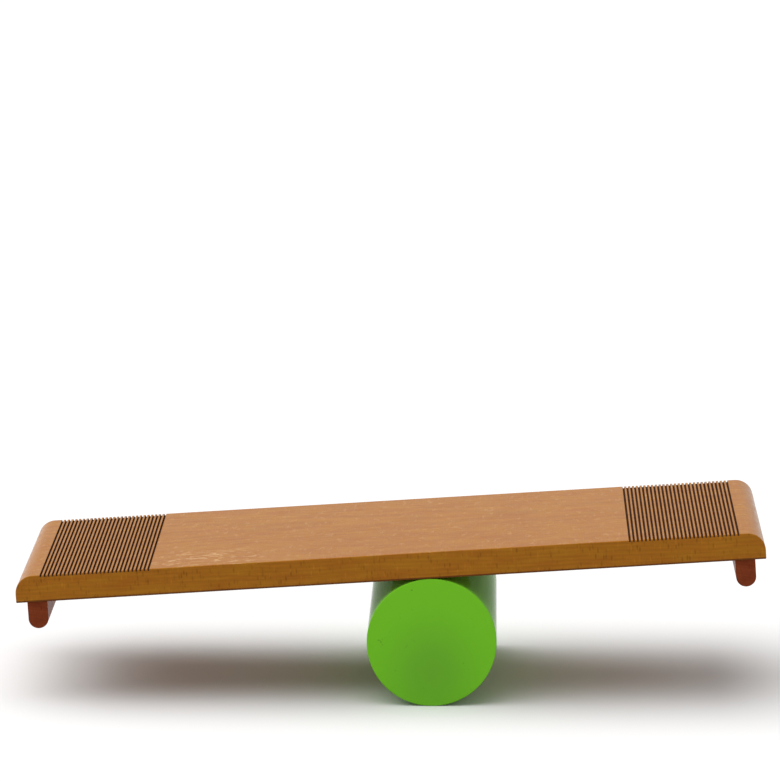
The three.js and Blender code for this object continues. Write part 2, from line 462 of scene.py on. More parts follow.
@dataclass(frozen=True)
class RiddenLacquer(BeechFinish):
    """The deck's lacquer after use.

    It has painted shade along the lower arris, is covered with fine scratches on top, and is scuffed
    beside the left grooves.

    Attributes:
        top: height of the board's top on its own axes.
        arris_shade_colour: colour of the painted shade along the lower arris.
        arris_shade_strength: how far the painted shade hides the wood.
        arris_shade_band: how far above the underside the painted shade is full, starts to end and
            has ended.
        scuffed: colour of a scuff or a scratch.
        scuff: the scuffs.
        scuff_place: middle of the scuffed part of the top, along and across the board.
        scuff_reach: how far the scuffs reach from there, along, across and through the board.
        scuff_fade: share of that reach at which they start to thin out.
        scratch: the scratches.
        scratch_skin: how far below the top they end.
    """

    top: float = 27 * MM
    # Painted shade: a dark band along the lower arris, where the board's edge turns under
    arris_shade_colour: str = "#43201a"
    arris_shade_strength: float = 0.7
    arris_shade_band: Triple = (0.1 * MM, 1.5 * MM, 2.3 * MM)
    scuffed: str = "#d2ab76"
    scuff: WanderingMarks = WanderingMarks(
        strength=0.6,
        wander_cell=(28 * MM, 13 * MM, 30 * MM),
        line=(0.008, 0.044),
        break_cell=(18 * MM, 9 * MM, 30 * MM),
        whole=(0.44, 0.56),
    )
    scuff_place: Pair = (-182 * MM, -110 * MM)
    scuff_reach: Triple = (72 * MM, 56 * MM, 1 * MM)
    scuff_fade: float = 0.5
    scratch: WanderingMarks = WanderingMarks(
        strength=0.22,
        wander_cell=(10 * MM, 22 * MM, 30 * MM),
        line=(0.01, 0.05),
        break_cell=(7 * MM, 16 * MM, 30 * MM),
        whole=(NOISE_MIDDLE, NOISE_HIGH),
    )
    scratch_skin: float = 0.5 * MM

    def marked(self, tree: NodeTree, wood: NodeSocket, clean: NodeSocket) -> NodeSocket:
        """The colour with the painted shade along the lower arris, the scratches and the scuffs.

        Args:
            tree: the material's node tree.
            wood: the place in the wood.
            clean: the colour without marks.

        Returns:
            The colour that shows.
        """
        marks = (
            # Painted shade along the lower arris first, then the scratches and the scuffs
            (self.arris_shade_share(tree, wood), self.arris_shade_colour),
            (self.scratches(tree, wood), self.scuffed),
            (self.scuffs(tree, wood), self.scuffed),
        )
        colour = clean
        for amount, mark in marks:
            colour = mix_colours(tree, amount, colour, linear_colour(mark))
        return colour

    def arris_shade_share(self, tree: NodeTree, wood: NodeSocket) -> NodeSocket:
        """How far the painted shade along the lower arris hides a place in the wood: fully in a
        narrow band above the underside.

        Args:
            tree: the material's node tree.
            wood: the place in the wood.

        Returns:
            A share from 0 up.
        """
        level = add_node(tree, "ShaderNodeSeparateXYZ", {"Vector": wood}, "Z")
        full, fading, ended = self.arris_shade_band
        above_base = map_range(tree, level, (0, full), (0, self.arris_shade_strength))
        below_top = map_range(tree, level, (fading, ended), (self.arris_shade_strength, 0))
        return calculate(tree, "MINIMUM", above_base, below_top)

    def scuffs(self, tree: NodeTree, wood: NodeSocket) -> NodeSocket:
        """How far a scuff hides a place in the wood, which is only beside the left grooves.

        Args:
            tree: the material's node tree.
            wood: the place in the wood.

        Returns:
            A share from 0 up.
        """
        middle = (*self.scuff_place, self.top)
        inputs = {"Vector": wood, "Location": middle, "Scale": self.scuff_reach}
        place = add_node(tree, "ShaderNodeMapping", inputs, vector_type="TEXTURE")
        away = add_node(tree, "ShaderNodeVectorMath", {0: place}, "Value", operation="LENGTH")
        near = map_range(tree, away, (self.scuff_fade, 1), (1, 0))
        return calculate(tree, "MULTIPLY", self.scuff.share(tree, wood), near)

    def scratches(self, tree: NodeTree, wood: NodeSocket) -> NodeSocket:
        """How far a fine scratch hides a place in the wood, which is only on the board's top.

        Args:
            tree: the material's node tree.
            wood: the place in the wood.

        Returns:
            A share from 0 up.
        """
        level = add_node(tree, "ShaderNodeSeparateXYZ", {"Vector": wood}, "Z")
        on_top = map_range(tree, level, (self.top - self.scratch_skin, self.top), (0, 1))
        return calculate(tree, "MULTIPLY", self.scratch.share(tree, wood), on_top)


@dataclass(frozen=True)
class EndStained(BeechFinish):
    """Stained beech whose end grain has drunk more of the stain than its sides.

    Attributes:
        half_length: how far the ends lie from the middle of the wood.
        end_depth: how deep the darker stain shows round the ends.
        end_shade: what the sides' colour is multiplied by at the ends.
    """

    half_length: float = 138 * MM
    end_depth: float = 0.9 * MM
    end_shade: Triple = (0.56, 0.52, 0.54)

    def marked(self, tree: NodeTree, wood: NodeSocket, clean: NodeSocket) -> NodeSocket:
        """The colour with dark ends.

        Args:
            tree: the material's node tree.
            wood: the place in the wood.
            clean: the colour without them.

        Returns:
            The colour that shows.
        """
        along = add_node(tree, "ShaderNodeSeparateXYZ", {"Vector": wood}, "X")
        away = calculate(tree, "ABSOLUTE", along)
        start = self.half_length - self.end_depth
        at_end = map_range(tree, away, (start, start + self.end_depth / 2), (0, 1))
        inputs = {0: clean, 1: self.end_shade}
        dark = add_node(tree, "ShaderNodeVectorMath", inputs, operation="MULTIPLY")
        return mix_colours(tree, at_end, clean, dark)


@dataclass(frozen=True)
class GreenPvc:
    """Rigid PVC, green all through: an even colour that pales only where it turns away.

    Attributes:
        name: the material's name.
        texture_cell: size of one mark that the forming left in the surface.
        wear_cell: size of one mark of use.
        wear_colour: colour of a mark of use.
        wear_range: where such a mark starts and is full, in the noise's own range.
        colour: the plastic's own colour.
        roughness: roughness of the clean surface.
        wear_roughness: roughness of a mark of use.
        specular: specular level of the surface.
        relief: height of the marks of forming.
        detail: octaves of noise in all the marks.
    """

    name: str
    texture_cell: Triple
    wear_cell: Triple
    wear_colour: str
    wear_range: Pair
    colour: str = "#75c42c"
    roughness: float = 0.04
    wear_roughness: float = 0.3
    specular: float = 0.0004
    relief: float = 0.004 * MM
    detail: int = 3

    def build(self, centre: Vector) -> Material:
        """Make the material for a piece whose axis runs along Y through a point.

        Args:
            centre: the point.

        Returns:
            The finished material.
        """
        material, tree, surface = new_material(self.name)
        point = add_node(tree, "ShaderNodeTexCoord", {}, "Object")
        noises = []
        for cell in (self.wear_cell, self.texture_cell):
            inputs = {"Vector": point, "Location": centre, "Scale": cell}
            place = add_node(tree, "ShaderNodeMapping", inputs, vector_type="TEXTURE")
            inputs = {"Vector": place, "Scale": 1, "Detail": self.detail}
            noises.append(add_node(tree, "ShaderNodeTexNoise", inputs))
        wear, texture = noises

        worn = map_range(tree, wear, self.wear_range, (0, 1))
        tone = add_node(tree, "ShaderNodeValToRGB", {"Fac": worn})
        tone.node.color_ramp.elements[0].color = linear_colour(self.colour)
        tone.node.color_ramp.elements[1].color = linear_colour(self.wear_colour)
        tree.links.new(self.with_painted_shade(tree, centre, tone), surface.inputs["Base Color"])
        rough = map_range(tree, worn, (0, 1), (self.roughness, self.wear_roughness))
        tree.links.new(rough, surface.inputs["Roughness"])
        inputs = {"Height": texture, "Strength": 1, "Distance": self.relief}
        tree.links.new(add_node(tree, "ShaderNodeBump", inputs), surface.inputs["Normal"])
        surface.inputs["Specular IOR Level"].default_value = self.specular
        return material

    def with_painted_shade(self, tree: NodeTree, centre: Vector, clean: NodeSocket) -> NodeSocket:
        """The colour with painted shade on it. Here there is none.

        Args:
            tree: the material's node tree.
            centre: the point that build takes.
            clean: the colour without painted shade.

        Returns:
            The colour that shows.
        """
        return clean


@dataclass(frozen=True)
class PvcWithPaintedShade(GreenPvc):
    """The same plastic with painted shade: a soft darker patch low in the middle of its face, where
    less light falls.

    Attributes:
        low_shade_colour: colour of the painted shade.
        low_shade_strength: how far the painted shade hides the plastic's colour in its middle.
        low_shade_place: middle of the painted shade, from the piece's own. It runs right through the
            piece.
        low_shade_reach: how far the painted shade fades out, which is endless along the axis.
    """

    low_shade_colour: str = "#629c36"
    low_shade_strength: float = 0.54
    low_shade_place: Triple = (0, 0, -28 * MM)
    low_shade_reach: Triple = (66 * MM, ENDLESS, 76 * MM)

    def with_painted_shade(self, tree: NodeTree, centre: Vector, clean: NodeSocket) -> NodeSocket:
        """The colour with the painted shade: darker low in the middle of the face.

        Args:
            tree: the material's node tree.
            centre: the point that build takes.
            clean: the colour without painted shade.

        Returns:
            The colour that shows.
        """
        # Painted shade: a soft darker patch low on the face, where less light falls
        middle = centre + Vector(self.low_shade_place)
        point = add_node(tree, "ShaderNodeTexCoord", {}, "Object")
        inputs = {"Vector": point, "Location": middle, "Scale": self.low_shade_reach}
        place = add_node(tree, "ShaderNodeMapping", inputs, vector_type="TEXTURE")
        away = add_node(tree, "ShaderNodeVectorMath", {0: place}, "Value", operation="LENGTH")
        fade = (self.low_shade_strength, 0)
        amount = map_range(tree, away, (0, 1), fade, interpolation_type="SMOOTHSTEP")
        return mix_colours(tree, amount, clean, linear_colour(self.low_shade_colour))


@dataclass(frozen=True)
class ZincPlate:
    """Bright zinc plating on steel: a cool grey metal with a slightly cloudy sheen.

    Attributes:
        name: the material's name.
        colour: the metal's own colour.
        roughness: its mean roughness.
        cloud_spread: how far the roughness varies.
        cloud_cell: size of one cloud in the sheen.
        cloud_detail: octaves of noise in the clouds.
    """

    name: str = "bright_zinc_plate"
    colour: str = "#c3c6c9"
    roughness: float = 0.34
    cloud_spread: float = 0.06
    cloud_cell: float = 1.5 * MM
    cloud_detail: int = 2

    def build(self) -> Material:
        """Make the material.

        Returns:
            The finished material.
        """
        material, tree, surface = new_material(self.name)
        point = add_node(tree, "ShaderNodeTexCoord", {}, "Object")
        inputs = {"Vector": point, "Scale": 1 / self.cloud_cell, "Detail": self.cloud_detail}
        clouds = add_node(tree, "ShaderNodeTexNoise", inputs)
        rough, spread = self.roughness, self.cloud_spread
        sheen = map_range(tree, clouds, (NOISE_LOW, NOISE_HIGH), (rough - spread, rough + spread))
        tree.links.new(sheen, surface.inputs["Roughness"])
        surface.inputs["Base Color"].default_value = linear_colour(self.colour)
        surface.inputs["Metallic"].default_value = 1
        return material


def block(size: Triple, centre: Triple = (0, 0, 0)) -> BMesh:
    """Start a box.

    Args:
        size: its length, width and height.
        centre: where its middle lies.

    Returns:
        The box.
    """
    shape = bmesh.new()
    place = Matrix.Translation(centre) @ Matrix.Diagonal((*size, 1))
    bmesh.ops.create_cube(shape, size=1, matrix=place)
    return shape


def lathe(profile: Profile, sides: int) -> BMesh:
    """Spin a profile round the Z axis.

    Args:
        profile: radius and height of each corner. One that starts off the axis closes on itself.
        sides: how many steps make the full turn.

    Returns:
        The closed shape.
    """
    shape = bmesh.new()
    corners = [shape.verts.new((radius, 0, height)) for radius, height in profile]
    edges = [shape.edges.new(pair) for pair in zip(corners, corners[1:])]
    if profile[0][0] > 0:
        edges.append(shape.edges.new((corners[-1], corners[0])))
    bmesh.ops.spin(
        shape,
        geom=corners + edges,
        axis=(0, 0, 1),
        angle=FULL_TURN,
        steps=sides,
        use_merge=True,
    )
    bmesh.ops.remove_doubles(shape, verts=shape.verts[:], dist=WELD_DISTANCE)
    bmesh.ops.recalc_face_normals(shape, faces=shape.faces[:])
    return shape


def round_edges(
    shape: BMesh, radius: float, segments: int, wanted: Callable[[BMEdge], bool]
) -> None:
    """Round some edges of a shape.

    Args:
        shape: the shape.
        radius: how far the rounding reaches from the edge.
        segments: its steps.
        wanted: tells which edges to round.
    """
    bmesh.ops.bevel(
        shape,
        geom=[edge for edge in shape.edges if wanted(edge)],
        offset=radius,
        segments=segments,
        profile=ROUND_PROFILE,
        affect="EDGES",
        material=-1,
        clamp_overlap=True,
    )


def is_sharp(edge: BMEdge) -> bool:
    """Whether two faces meet at the edge at more than the crease angle."""
    return edge.calc_face_angle(0) > CREASE_ANGLE


def runs_along(edge: BMEdge, axis: int) -> bool:
    """Whether the edge is parallel to the axis with that number."""
    span = edge.verts[1].co - edge.verts[0].co
    return abs(span[axis]) > PARALLEL * span.length


def vertices_in(geometry: Sequence[Any]) -> list[BMVert]:
    """The vertices among a bmesh operator's results."""
    return [item for item in geometry if isinstance(item, BMVert)]


def solid_object(name: str, shape: BMesh, materials: Sequence[Material]) -> Object:
    """Turn a finished shape into an object.

    Args:
        name: the object's name.
        shape: the shape, which is used up.
        materials: its materials.

    Returns:
        The object, linked to the scene.
    """
    mesh = bpy.data.meshes.new(name)
    shape.to_mesh(mesh)
    shape.free()
    for material in materials:
        mesh.materials.append(material)
    made = bpy.data.objects.new(name, mesh)
    bpy.context.scene.collection.objects.link(made)
    return made


def bake_modifiers(piece: Object) -> None:
    """Make what the piece's modifiers show its own mesh.

    Args:
        piece: the piece, which has no modifiers afterwards.
    """
    graph = bpy.context.evaluated_depsgraph_get()
    result = bpy.data.meshes.new_from_object(piece.evaluated_get(graph))
    piece.modifiers.clear()
    piece.data = result


def combine(body: Object, tool: Object, cut: Cut) -> None:
    """Cut or join one solid with another, which is used up.

    Args:
        body: the solid that keeps the result. The tool's materials go with its faces.
        tool: the other solid.
        cut: what the tool does.
    """
    modifier = body.modifiers.new("cut", "BOOLEAN")
    modifier.operation = cut.value
    modifier.solver = "EXACT"
    modifier.material_mode = "TRANSFER"
    modifier.object = tool
    bake_modifiers(body)
    bpy.data.objects.remove(tool)


def finish_piece(piece: Object, place: Matrix, body: str, slot: str, *nodes: str) -> Object:
    """Place a piece in the object's frame, shade it, and tell the frame and the log what it is.

    Its flats are shaded flat, and its rounds smooth.

    Args:
        piece: the piece, on its own axes.
        place: the transform to the object's frame.
        body: the body that it moves with.
        slot: the record's material slot for the piece. It is not used.
        *nodes: the simpler solids that it stands for.

    Returns:
        The same piece.
    """
    shape = bmesh.new()
    shape.from_mesh(piece.data)
    bmesh.ops.transform(shape, matrix=place, verts=shape.verts[:])
    bmesh.ops.remove_doubles(shape, verts=shape.verts[:], dist=WELD_DISTANCE)
    bmesh.ops.dissolve_degenerate(shape, edges=shape.edges[:], dist=WELD_DISTANCE)
    for face in shape.faces:
        face.smooth = True
    for edge in shape.edges:
        edge.smooth = not is_sharp(edge)
    shape.to_mesh(piece.data)
    shape.free()
    modifier = piece.modifiers.new("flat_faces_lead", "WEIGHTED_NORMAL")
    modifier.keep_sharp = True
    bake_modifiers(piece)
    piece.data.name = piece.name
    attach(piece, body)
    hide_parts(*nodes)
    LOG.info("%s: %d faces on body %s", piece.name, len(piece.data.polygons), body)
    return piece


# Honey lacquer over planed beech: warm and clear, with a pale gleam where it turns away
DECK_LACQUER = RiddenLacquer(
    name="honey_lacquered_beech", light="#a46c20", dark="#9c5f1e", roughness=0.2, specular=0.013
)
# Unsanded groove walls under the same lacquer, dull and much darker than the top
MILLED_GROOVES = BeechFinish(
    name="milled_beech_grooves", light="#50301a", dark="#3e2413", roughness=0.7, specular=0.02
)
# Red-brown stain under a satin varnish, darkest on the end grain
CLEAT_STAIN = EndStained(
    name="stained_beech", light="#a85431", dark="#934728", roughness=0.3, specular=0.008
)
# Extruded: fine die lines along the tube, and pale scuffs round it from rolling
TUBE_PVC = GreenPvc(
    name="extruded_green_pvc",
    texture_cell=(1.6 * MM, 600 * MM, 1.6 * MM),
    wear_cell=(26 * MM, 0.9 * MM, 26 * MM),
    wear_colour="#82cc34",
    wear_range=(0.6, 0.8),
)
# Pressed in a polished mould: a hint of orange peel and a few dark specks, with painted shade low on
# the face
CAP_PVC = PvcWithPaintedShade(
    name="moulded_green_pvc",
    texture_cell=(1.8 * MM, 1.8 * MM, 1.8 * MM),
    wear_cell=(6 * MM, 6 * MM, 6 * MM),
    wear_colour="#589428",
    wear_range=(0.7, 0.78),
)


@dataclass
class Deck:
    """The deck board, with rounded-over ends and a grooved area near each end.

    Its own axes have X along the board, Y across it, and the origin in the middle of its underside.

    Attributes:
        length: length of the board.
        width: its width.
        thickness: its thickness.
        end_radius: rounding of the top at both ends.
        end_segments: steps in that rounding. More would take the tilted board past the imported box.
        edge_radius: easing of all the other edges.
        edge_segments: steps in that easing.
        groove_count: grooves at each end.
        groove_pitch: distance from groove to groove.
        groove_width: width of a groove between its walls.
        groove_depth: depth of a groove.
        groove_lip: width and height of the flare at a groove's lips.
        groove_segments: steps in the rounding of its floor.
        groove_rounding: the floor's rounding as a share of half the width.
        first_groove_inset: distance from the board's end to the middle of the outermost groove.
    """

    length: float = 750 * MM
    width: float = 280 * MM
    thickness: float = 27 * MM
    end_radius: float = 18 * MM
    end_segments: int = 12
    edge_radius: float = 1 * MM
    edge_segments: int = 4
    groove_count: int = 28
    groove_pitch: float = 4 * MM
    groove_width: float = 1.8 * MM
    groove_depth: float = 2 * MM
    groove_lip: float = 0.2 * MM
    groove_segments: int = 5
    groove_rounding: float = 0.98
    first_groove_inset: float = 26.5 * MM

    def placement(self) -> Placement:
        """Where the board lies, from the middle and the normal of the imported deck's top.

        Returns:
            The placement of its own axes.
        """
        top = frame_entry(frame["record"]["mounts"], "deck_top")
        normal = Vector(top["axis"])
        tilt = math.atan2(normal.x, normal.z)
        return Placement(Vector(top["pos_m"]) - self.thickness * normal, Euler((0, tilt, 0)))

    def groove_lines(self) -> list[float]:
        """Where the grooves run.

        Returns:
            The X of each groove's middle, at both ends of the board.
        """
        first = self.length / 2 - self.first_groove_inset
        return [
            end.value * (first - index * self.groove_pitch)
            for end in DeckEnd
            for index in range(self.groove_count)
        ]

    def blank(self) -> BMesh:
        """Shape the board before its grooves are milled.

        Returns:
            The plain board.
        """
        middle = self.thickness / 2
        board = block((self.length, self.width, self.thickness), (0, 0, middle))
        round_edges(
            board,
            self.end_radius,
            self.end_segments,
            lambda edge: runs_along(edge, 1) and all(v.co.z > middle for v in edge.verts),
        )
        round_edges(board, self.edge_radius, self.edge_segments, is_sharp)
        return board

    def groove_cutter(self) -> BMesh:
        """Shape the tool that mills the grooves: round at the bottom and flared at the lips.

        Returns:
            One cutter for each groove, all in one shape.
        """
        floor = self.thickness - self.groove_depth
        lip = self.thickness - self.groove_lip
        middle = (lip + floor) / 2
        reach = self.width + 2 * CUT_OVERRUN
        tool = block((self.groove_width, reach, lip - floor), (0, 0, middle))
        round_edges(
            tool,
            self.groove_rounding * self.groove_width / 2,
            self.groove_segments,
            lambda edge: runs_along(edge, 1) and all(v.co.z < middle for v in edge.verts),
        )
        for rise, spread in ((self.groove_lip, self.groove_lip), (CUT_OVERRUN, 0)):
            top = max(tool.faces, key=lambda face: face.calc_center_median().z)
            made = bmesh.ops.extrude_face_region(tool, geom=[top])["geom"]
            bmesh.ops.delete(tool, geom=[top], context="FACES_ONLY")
            raised = vertices_in(made)
            bmesh.ops.translate(tool, verts=raised, vec=(0, 0, rise))
            for vertex in raised:
                vertex.co.x += math.copysign(spread, vertex.co.x)
        pattern = tool.verts[:] + tool.edges[:] + tool.faces[:]
        for line in self.groove_lines():
            copied = bmesh.ops.duplicate(tool, geom=pattern)["geom"]
            bmesh.ops.translate(tool, verts=vertices_in(copied), vec=(line, 0, 0))
        bmesh.ops.delete(tool, geom=vertices_in(pattern), context="VERTS")
        bmesh.ops.recalc_face_normals(tool, faces=tool.faces[:])
        return tool

    def build(self, holes: Sequence[BMesh]) -> Object:
        """Make the board.

        Args:
            holes: the tools that drill its screw holes.

        Returns:
            The finished board.
        """
        place = self.placement()
        lacquer = replace(DECK_LACQUER, top=self.thickness).build(place)
        board = solid_object("deck_board_milled", self.blank(), [lacquer])
        milled = MILLED_GROOVES.build(place)
        for tool in (self.groove_cutter(), *holes):
            combine(board, solid_object("cutter", tool, [milled]), Cut.SUBTRACT)
        return finish_piece(board, place.matrix(), "deck", "lacquered_beech", "deck_board")


@dataclass
class CleatScrew:
    """A countersunk wood screw with a cross recess, driven upwards.

    Its own axes have the origin in the middle of the head's face and Z towards the tip.

    Attributes:
        length: length of the whole screw.
        head_diameter: diameter of the head's face.
        head_rim: height of the head's straight rim.
        shank_diameter: diameter of the shank and of the thread's crest.
        core_diameter: diameter inside the thread.
        thread_pitch: climb of the thread in one turn.
        plain_shank: how far from the head's face the thicker shank reaches.
        thread_root: radius of the ridge's inner side, as a share of the core's.
        thread_flank: half the ridge's width there, as a share of the pitch.
        tip_length: length of the pointed tip.
        recess_span: length of each slot of the cross.
        recess_width: its width.
        recess_depth: its depth.
        recess_taper: its length at the bottom, as a share of that at the face.
        sides: steps in one turn.
    """

    length: float = 35 * MM
    head_diameter: float = 9 * MM
    head_rim: float = 0.4 * MM
    shank_diameter: float = 4.5 * MM
    core_diameter: float = 3.2 * MM
    thread_pitch: float = 2 * MM
    plain_shank: float = 12 * MM
    thread_root: float = 0.9
    thread_flank: float = 0.3
    tip_length: float = 5 * MM
    recess_span: float = 4.6 * MM
    recess_width: float = 0.95 * MM
    recess_depth: float = 2.4 * MM
    recess_taper: float = 0.35
    sides: int = 32

    def shape(self) -> Object:
        """Make one screw on its own axes.

        Returns:
            The screw.
        """
        head, shank, core = self.head_diameter / 2, self.shank_diameter / 2, self.core_diameter / 2
        cone_end = self.head_rim + head - shank
        profile = [
            (0, 0),
            (head, 0),
            (head, self.head_rim),
            (shank, cone_end),
            (shank, self.plain_shank),
            (core, self.plain_shank + shank - core),
            (core, self.length - self.tip_length),
            (0, self.length),
        ]
        zinc = ZincPlate().build()
        screw = solid_object("screw", lathe(profile, self.sides), [zinc])
        combine(screw, solid_object("thread", self.thread(), [zinc]), Cut.JOIN)
        for turn in (0, math.pi / 2):
            recess = block((self.recess_span, self.recess_width, 2 * self.recess_depth))
            deep = [vertex for vertex in recess.verts if vertex.co.z > 0]
            bmesh.ops.scale(recess, vec=(self.recess_taper, 1, 1), verts=deep)
            bmesh.ops.rotate(recess, matrix=Matrix.Rotation(turn, 3, "Z"), verts=recess.verts[:])
            combine(screw, solid_object("recess", recess, [zinc]), Cut.SUBTRACT)
        return screw

    def thread(self) -> BMesh:
        """Shape the helical ridge, from a small triangle that is spun as it climbs.

        Returns:
            The ridge, closed at both ends.
        """
        core, crest = self.core_diameter / 2, self.shank_diameter / 2
        root, half = self.thread_root * core, self.thread_flank * self.thread_pitch
        start = self.plain_shank + self.thread_pitch
        turns = int((self.length - self.tip_length - start) / self.thread_pitch)
        steps = turns * self.sides // 2
        ridge = bmesh.new()
        corners = [
            ridge.verts.new((root, 0, start - half)),
            ridge.verts.new((crest, 0, start)),
            ridge.verts.new((root, 0, start + half)),
        ]
        section = ridge.faces.new(corners)
        bmesh.ops.spin(
            ridge,
            geom=[section],
            axis=(0, 0, 1),
            angle=turns * FULL_TURN,
            dvec=(0, 0, self.thread_pitch * turns / steps),
            steps=steps,
        )
        bmesh.ops.recalc_face_normals(ridge, faces=ridge.faces[:])
        return ridge


@dataclass
class StopCleat:
    """A stained bar under one end of the deck, which stops the roller.

    It is fully rounded below, square against the deck, and held by screws in deep pockets. Its
    own axes are the deck's, moved along the deck to the middle of the bar.

    Attributes:
        deck: the deck that it is fixed to.
        end: the end of the deck that it is under.
        screw: the kind of screw that holds it.
        width: width of the bar, along the deck.
        height: height of the bar.
        inset: distance from the deck's end to the bar's side.
        setback: distance from the deck's sides to the bar's ends.
        seat_gap: gap between pieces that seat on each other.
        bottom_segments: steps in the rounding of each lower edge.
        bottom_rounding: that rounding as a share of half the width.
        end_radius: easing round the bar's ends, which leaves their top edges sharp.
        end_segments: steps in that easing.
        screw_count: screws in the row.
        screw_end_inset: distance from the bar's ends to the outer screws.
        screw_turn: how far each screw is turned on from the one before.
        pocket_diameter: diameter of a screw's pocket.
        pocket_depth: depth of the head in its pocket.
        pocket_sides: steps round a pocket or a hole.
    """

    deck: Deck
    end: DeckEnd
    screw: CleatScrew
    width: float = 20 * MM
    height: float = 27 * MM
    inset: float = 11 * MM
    setback: float = 2 * MM
    seat_gap: float = 0.3 * MM
    bottom_segments: int = 12
    bottom_rounding: float = 0.999
    end_radius: float = 0.8 * MM
    end_segments: int = 3
    screw_count: int = 4
    screw_end_inset: float = 30 * MM
    screw_turn: float = math.radians(40)
    pocket_diameter: float = 10.6 * MM
    pocket_depth: float = 7 * MM
    pocket_sides: int = 40

    def length(self) -> float:
        """The length of the bar, across the deck."""
        return self.deck.width - 2 * self.setback

    def line(self) -> float:
        """The X of the middle of the bar on the deck's own axes."""
        return self.end.value * (self.deck.length / 2 - self.inset - self.width / 2)

    def bottom(self) -> float:
        """The height of the bar's underside, which is below the deck's."""
        return -self.seat_gap - self.height

    def head_face(self) -> float:
        """The height of the screws' heads, deep in their pockets."""
        return self.bottom() + self.pocket_depth

    def placement(self) -> Placement:
        """Where the bar's own axes lie."""
        return self.deck.placement().then(Matrix.Translation((self.line(), 0, 0)))

    def screw_rows(self) -> list[float]:
        """Where the screws stand.

        Returns:
            The Y of each.
        """
        reach = self.length() / 2 - self.screw_end_inset
        step = 2 * reach / (self.screw_count - 1)
        return [-reach + index * step for index in range(self.screw_count)]

    def bar(self) -> BMesh:
        """Shape the bar before its pockets are drilled.

        Returns:
            The plain bar.
        """
        middle = self.bottom() + self.height / 2
        bar = block((self.width, self.length(), self.height), (0, 0, middle))
        round_edges(
            bar,
            self.bottom_rounding * self.width / 2,
            self.bottom_segments,
            lambda edge: runs_along(edge, 1) and all(v.co.z < middle for v in edge.verts),
        )
        top = -self.seat_gap
        round_edges(
            bar,
            self.end_radius,
            self.end_segments,
            lambda edge: is_sharp(edge)
            and not all(abs(v.co.z - top) < WELD_DISTANCE for v in edge.verts),
        )
        return bar

    def pockets(self) -> list[BMesh]:
        """Shape the tools that drill the bar, each with its countersink and clearance hole.

        Returns:
            One tool for each screw.
        """
        head = self.screw.head_diameter / 2 + self.seat_gap
        shank = self.screw.shank_diameter / 2 + self.seat_gap
        rim = self.head_face() + self.screw.head_rim + self.seat_gap
        low = self.bottom() - CUT_OVERRUN
        profile = [
            (0, low),
            (self.pocket_diameter / 2, low),
            (self.pocket_diameter / 2, rim),
            (head, rim),
            (shank, rim + head - shank),
            (shank, CUT_OVERRUN),
            (0, CUT_OVERRUN),
        ]
        return self.drills(profile, 0)

    def deck_holes(self) -> list[BMesh]:
        """Shape the tools that drill the deck's blind holes, on the deck's own axes.

        Returns:
            One tool for each screw.
        """
        shank = self.screw.shank_diameter / 2 + self.seat_gap
        tip = self.head_face() + self.screw.length
        profile = [
            (0, -CUT_OVERRUN),
            (shank, -CUT_OVERRUN),
            (shank, tip + self.seat_gap - self.screw.tip_length),
            (0, tip + 2 * self.seat_gap),
        ]
        return self.drills(profile, self.line())

    def drills(self, profile: Profile, line: float) -> list[BMesh]:
        """The same turned tool at each screw.

        Args:
            profile: radius and height of each of its corners.
            line: the X of all of them.

        Returns:
            One tool for each screw.
        """
        tools = []
        for row in self.screw_rows():
            tool = lathe(profile, self.pocket_sides)
            bmesh.ops.translate(tool, verts=tool.verts[:], vec=(line, row, 0))
            tools.append(tool)
        return tools

    def build(self) -> list[Object]:
        """Make the bar and its screws.

        Returns:
            The finished pieces.
        """
        side = self.end.name.lower()
        place = self.placement()
        grain = place.then(Matrix.Rotation(math.pi / 2, 4, "Z"))
        stain = replace(CLEAT_STAIN, half_length=self.length() / 2).build(grain)
        cleat = solid_object(f"{side}_stop_cleat_bar", self.bar(), [stain])
        for tool in self.pockets():
            combine(cleat, solid_object("cutter", tool, [stain]), Cut.SUBTRACT)
        made = [finish_piece(cleat, place.matrix(), "deck", "stained_beech", f"{side}_stop_cleat")]
        pattern = self.screw.shape()
        for number, row in enumerate(self.screw_rows(), start=1):
            piece = pattern.copy()
            piece.data = pattern.data.copy()
            piece.name = f"{side}_wood_screw_{number}"
            bpy.context.scene.collection.objects.link(piece)
            driven = Matrix.Rotation(self.screw_turn * number * self.end.value, 4, "Z")
            seat = place.matrix() @ Matrix.Translation((0, row, self.head_face())) @ driven
            node = f"{side}_cleat_screw_{number}"
            made.append(finish_piece(piece, seat, "deck", "zinc_plated_steel", node))
        bpy.data.objects.remove(pattern)
        return made


